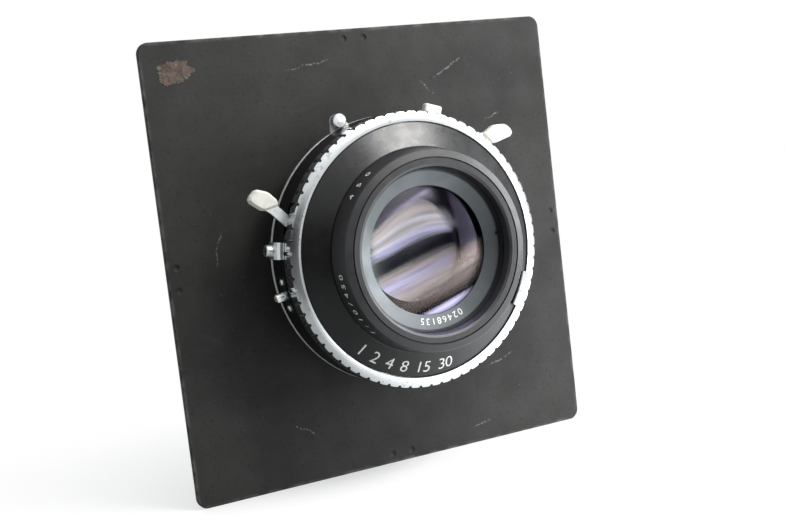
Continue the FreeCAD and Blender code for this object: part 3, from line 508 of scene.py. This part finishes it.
# ================================================================ pieces
def finish_piece(obj, material, body=BODY, smooth=True):
    obj.data.materials.clear()
    obj.data.materials.append(material)
    for polygon in obj.data.polygons:
        polygon.use_smooth = smooth
    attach(obj, body)
    return obj


def mesh_object(name, build):
    mesh = bpy.data.meshes.new(name)
    bm = bmesh.new()
    build(bm)
    bmesh.ops.recalc_face_normals(bm, faces=bm.faces)
    bm.to_mesh(mesh)
    bm.free()
    obj = bpy.data.objects.new(name, mesh)
    bpy.context.scene.collection.objects.link(obj)
    return obj


def lathed(name, profile, steps=256):
    """Closed ring turned about the optical axis from (radius, z) points."""
    def build(bm):
        rings = [[bm.verts.new(polar(r, 360.0 * i / steps, z)) for r, z in profile] for i in range(steps)]
        for i, ring in enumerate(rings):
            following = rings[(i + 1) % steps]
            for k in range(len(profile)):
                m = (k + 1) % len(profile)
                bm.faces.new((ring[k], ring[m], following[m], following[k]))
    return mesh_object(name, build)


def lens(node, radius, front_edge, front_curve, back_edge, back_curve, rings=40, steps=144):
    """One glass element with two finely divided round faces. Its rim is ground and blackened."""
    def height(r, edge, curve):
        bulge = math.sqrt(curve * curve - r * r) - math.sqrt(curve * curve - radius * radius)
        return edge + math.copysign(bulge, curve)

    def face(bm, edge, curve, outward):
        centre = bm.verts.new(row(0, 0, outward * height(0.0, edge, curve)))
        circles = []
        for k in range(1, rings + 1):
            r = radius * k / rings
            z = outward * height(r, edge, curve)
            circles.append([bm.verts.new(polar(r, 360.0 * i / steps, z)) for i in range(steps)])
        for i in range(steps):
            j = (i + 1) % steps
            bm.faces.new((centre, circles[0][i], circles[0][j]))
            for inner, outer in zip(circles, circles[1:]):
                bm.faces.new((inner[i], outer[i], outer[j], inner[j]))
        return circles[-1]

    def build(bm):
        front = face(bm, front_edge, front_curve, 1)
        back = face(bm, -back_edge, back_curve, -1)
        for i in range(steps):
            j = (i + 1) % steps
            bm.faces.new((front[i], back[i], back[j], front[j]))

    obj = mesh_object(node + "_glass", build)
    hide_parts(node)
    return obj


def lenses():
    materials = {
        "front_element_outer": front_glass(),
        "front_element_inner": inner_glass(),
        "rear_element_inner": inner_glass(),
        "rear_element_outer": rear_glass(),
    }
    rim = satin_black("lens_rim", 0.6, 0.01, 0.2)
    for node, sizes in LENSES.items():
        obj = finish_piece(lens(node, *sizes), materials[node])
        obj.data.materials.append(rim)
        for polygon in obj.data.polygons:
            if abs(polygon.normal.y) < 0.5:
                polygon.material_index = 1
                polygon.use_smooth = False


def filter_thread():
    """Screw thread on the inside of the front rim, as fine ridges on a thin sleeve."""
    root = FILTER_R - 0.02
    crest = root - 0.48 * THREAD_PITCH
    profile = [(root, THREAD_FROM)]
    for i in range(THREAD_TURNS):
        z = THREAD_FROM + 0.1 + THREAD_PITCH * i
        profile += [(root, z), (crest, z + 0.3), (crest, z + 0.4), (root, z + 0.7)]
    end = THREAD_FROM + 0.2 + THREAD_PITCH * THREAD_TURNS
    profile += [(root, end), (root + 0.1, end), (root + 0.1, THREAD_FROM)]
    return lathed("filter_thread_ridges", profile)


def glyph_outline(character, size):
    """Mesh of one character, flat, centred on its width, with its foot at y = 0, in mm."""
    curve = bpy.data.curves.new("glyph", "FONT")
    curve.body = character
    curve.size = size
    curve.extrude = 0.02
    curve.offset = -0.004 * size
    curve.resolution_u = 6
    holder = bpy.data.objects.new("glyph", curve)
    bpy.context.scene.collection.objects.link(holder)
    bpy.context.view_layer.update()
    mesh = bpy.data.meshes.new_from_object(holder.evaluated_get(bpy.context.evaluated_depsgraph_get()))
    bpy.data.objects.remove(holder)
    reach = [vertex.co.x for vertex in mesh.vertices]
    mesh.transform(Matrix.Translation((-(min(reach) + max(reach)) / 2, 0, 0)))
    return mesh


def engraved(name, text, size, place, start, step):
    """Characters set one by one. place(angle) gives a point on the surface, and right and up there."""
    bm = bmesh.new()
    for i, character in enumerate(text):
        if character == " ":
            continue
        point, right, up = place(start + step * i)
        right, up = right.normalized(), up.normalized()
        turn = Matrix((right, up, right.cross(up))).transposed().to_4x4()
        mesh = glyph_outline(character, size)
        mesh.transform(Matrix.Translation(point) @ turn @ Matrix.Scale(MM, 4))
        bm.from_mesh(mesh)
        bpy.data.meshes.remove(mesh)
    data = bpy.data.meshes.new(name)
    bm.to_mesh(data)
    bm.free()
    obj = bpy.data.objects.new(name, data)
    bpy.context.scene.collection.objects.link(obj)
    return finish_piece(obj, PAINT_WHITE, smooth=False)


def on_cone(outer, inner, radius, clockwise):
    """Places on a cone between two (radius, z) circles. Tops point to the axis, or outward if clockwise."""
    slope = (inner[1] - outer[1]) / (outer[0] - inner[0])
    z = outer[1] + (outer[0] - radius) * slope

    def place(angle):
        point = polar(radius, angle, z + 0.02)
        ahead = polar(radius, angle + 90, 0.0)
        inward = polar(radius - 1, angle, z + slope) - polar(radius, angle, z)
        return (point, -ahead, -inward) if clockwise else (point, ahead, inward)

    return place


def on_barrel(radius, z):
    """Places on the barrel's side. Characters run clockwise and their tops point to the board."""
    def place(angle):
        return polar(radius, angle, z), polar(1.0, angle - 90, 0.0), row(0.0, 0.0, -1.0)

    return place


def markings():
    """Plain numbers in white paint, where the object has lettering."""
    engraved("cone_numbers", "1 2 4 8 15 30", 6.4, on_cone(CONE_OUT, CONE_IN, 42.6, False), 228.0, 4.15)
    engraved("bevel_numbers", "02468135", 3.3, on_cone(BEVEL_OUT, BEVEL_IN, 23.5, True), 292.0, -5.1)
    engraved("barrel_numbers_low", "1:10/450", 4.0, on_barrel(BARREL_R - 0.25, 42.6), 223.0, -5.2)
    engraved("barrel_numbers_top", "450", 4.0, on_barrel(BARREL_R - 0.25, 42.6), 142.0, -8.0)


def ragged_patch(name, cx, cy, half_w, half_h, top_z, seed, tilt):
    """Thin sheet with a torn outline, lying on the board."""
    steps = 72
    rng = random.Random(seed)
    phase = [rng.uniform(0, 10) for _ in range(3)]
    c, si = math.cos(tilt), math.sin(tilt)

    def build(bm):
        top, bottom = [], []
        for i in range(steps):
            a = 2 * math.pi * i / steps
            jag = 0.8 + 0.45 * noise.noise(Vector((math.cos(a) * 2 + phase[0], math.sin(a) * 2, phase[1])))
            jag += 0.10 * noise.noise(Vector((math.cos(a) * 11, math.sin(a) * 11, phase[2])))
            x, y = half_w * jag * math.cos(a), half_h * jag * math.sin(a)
            px, py = cx + x * c - y * si, cy + x * si + y * c
            top.append(bm.verts.new(row(px, py, top_z)))
            bottom.append(bm.verts.new(row(px, py, 0.0)))
        bm.faces.new(top)
        bm.faces.new(list(reversed(bottom)))
        for i in range(steps):
            j = (i + 1) % steps
            bm.faces.new((top[i], bottom[i], bottom[j], top[j]))
    return mesh_object(name, build)


def sticker_residue():
    rim = ragged_patch("residue_rim", -69.3, 70.0, 7.6, 4.2, 0.07, 4, 0.12)
    finish_piece(rim, residue_rim(), smooth=False)
    paper = ragged_patch("residue_paper", -69.3, 70.4, 7.6, 4.2, 0.14, 9, 0.10)
    finish_piece(paper, residue_paper(), smooth=False)


# ================================================================ dressing the CAD nodes
PAINT_WHITE = paint_white()


def dress_nodes():
    by_slot = {
        "board_paint": board_paint(),
        "black_metal": satin_black(),
        "chrome": chrome(),
        "steel": steel(),
        "brass": brass(),
        "blade_steel": blade_steel(),
        "white_tip": white_tip(),
        "insulator": insulator(),
    }
    satin_chrome = chrome("satin_chrome", 0.32)
    special = {
        "shutter_housing": satin_black("housing_black", 0.2, 0.004, 0.3),
        "front_bevel_ring": anodised_black("bevel_black", 0.40, 0.11),
        "front_plate": satin_black("cone_black", 0.27, 0.0045, 0.5),
        "front_spacer": satin_black("spacer_black", 0.85, 0.002, 0.02),
        "front_cell_barrel": satin_black("barrel_black", 0.36, 0.010, 0.6),
        "filter_ring": satin_black("filter_black", 0.36, 0.010, 0.6),
        "aperture_ring": aperture_ring_finish(),
        "aperture_knob": satin_chrome,
        "release_lever": satin_chrome,
        "cocking_ring": satin_chrome,
        "cable_release_socket": chrome("socket_chrome", 0.24),
        "flash_terminal_screws": satin_chrome,
    }
    for entry in frame["record"]["subparts"]:
        if entry["node"] in LENSES:
            continue
        node = frame["nodes"][entry["node"]]
        material = special.get(entry["node"], by_slot[entry["material_slot"]])
        node.data.materials.clear()
        node.data.materials.append(material)


# ================================================================ stage
def floor():
    bpy.ops.mesh.primitive_plane_add(size=12.0, location=(0, 0, FLOOR_Z))
    plane = bpy.context.object
    plane.name = "floor"
    plane.data.materials.append(backdrop())


def world():
    """White to the camera. As light, it glows at the upper right and is dark behind the camera."""
    made = bpy.data.worlds.new("studio")
    s = Nodes(made, "OutputWorld")
    direction = s.coordinates.outputs["Generated"]
    glow = s.ramp(s.dot(direction, 0.45, -0.40, 0.80), 0.55, 0.95, 0.0, 0.6)
    dim = s.ramp(s.dot(direction, -1.0, 0.0, 0.0), 0.1, 0.8, 0.0, -0.15)
    even = s.ramp(photographer_shade(s, direction), 0.0, 1.0, 0.8, 0.06)
    level = s.math("MAXIMUM", s.sum(even, glow, dim), 0.05)
    lit = s.add("Background", {"Color": (0.97, 0.99, 1.0), "Strength": level})
    seen = s.add("Background", {"Color": (1.0, 1.0, 1.0), "Strength": 1.0})
    s.finish(s.blend(s.add("LightPath").outputs["Is Camera Ray"], lit, seen))
    bpy.context.scene.world = made


def softbox(name, place, aim, width, height, power, color=(1.0, 1.0, 1.0)):
    light = bpy.data.lights.new(name, "AREA")
    light.shape = "RECTANGLE"
    light.size, light.size_y = width, height
    light.energy = power
    light.color = color
    obj = bpy.data.objects.new(name, light)
    obj.location = place
    obj.rotation_euler = (Vector(aim) - Vector(place)).to_track_quat("-Z", "Y").to_euler()
    obj.visible_camera = False
    bpy.context.scene.collection.objects.link(obj)


def camera():
    data = bpy.data.cameras.new("camera")
    data.lens = CAMERA_LENS
    data.sensor_width = 36.0
    data.clip_start = 0.01
    obj = bpy.data.objects.new("camera", data)
    look = (CAMERA_AIM - CAMERA_PLACE).to_track_quat("-Z", "Y").to_matrix().to_4x4()
    lean = Matrix.Rotation(-math.radians(CAMERA_ROLL), 4, "Z")
    obj.matrix_world = Matrix.Translation(CAMERA_PLACE) @ look @ lean
    bpy.context.scene.collection.objects.link(obj)
    bpy.context.scene.camera = obj


def main():
    dress_nodes()
    lenses()
    finish_piece(filter_thread(), satin_black("thread_black", 0.32, 0.014))
    markings()
    sticker_residue()
    floor()
    world()
    softbox("softbox_top", (0.33, -0.50, 0.55), (0, 0, 0), 0.40, 0.26, 6.5, (1.0, 0.99, 0.97))
    softbox("softbox_right", (0.33, -0.25, 0.05), (0.03, -0.02, 0), 0.16, 0.24, 1.3, (0.97, 0.99, 1.0))
    camera()
    bpy.context.scene.view_settings.view_transform = "Standard"


main()
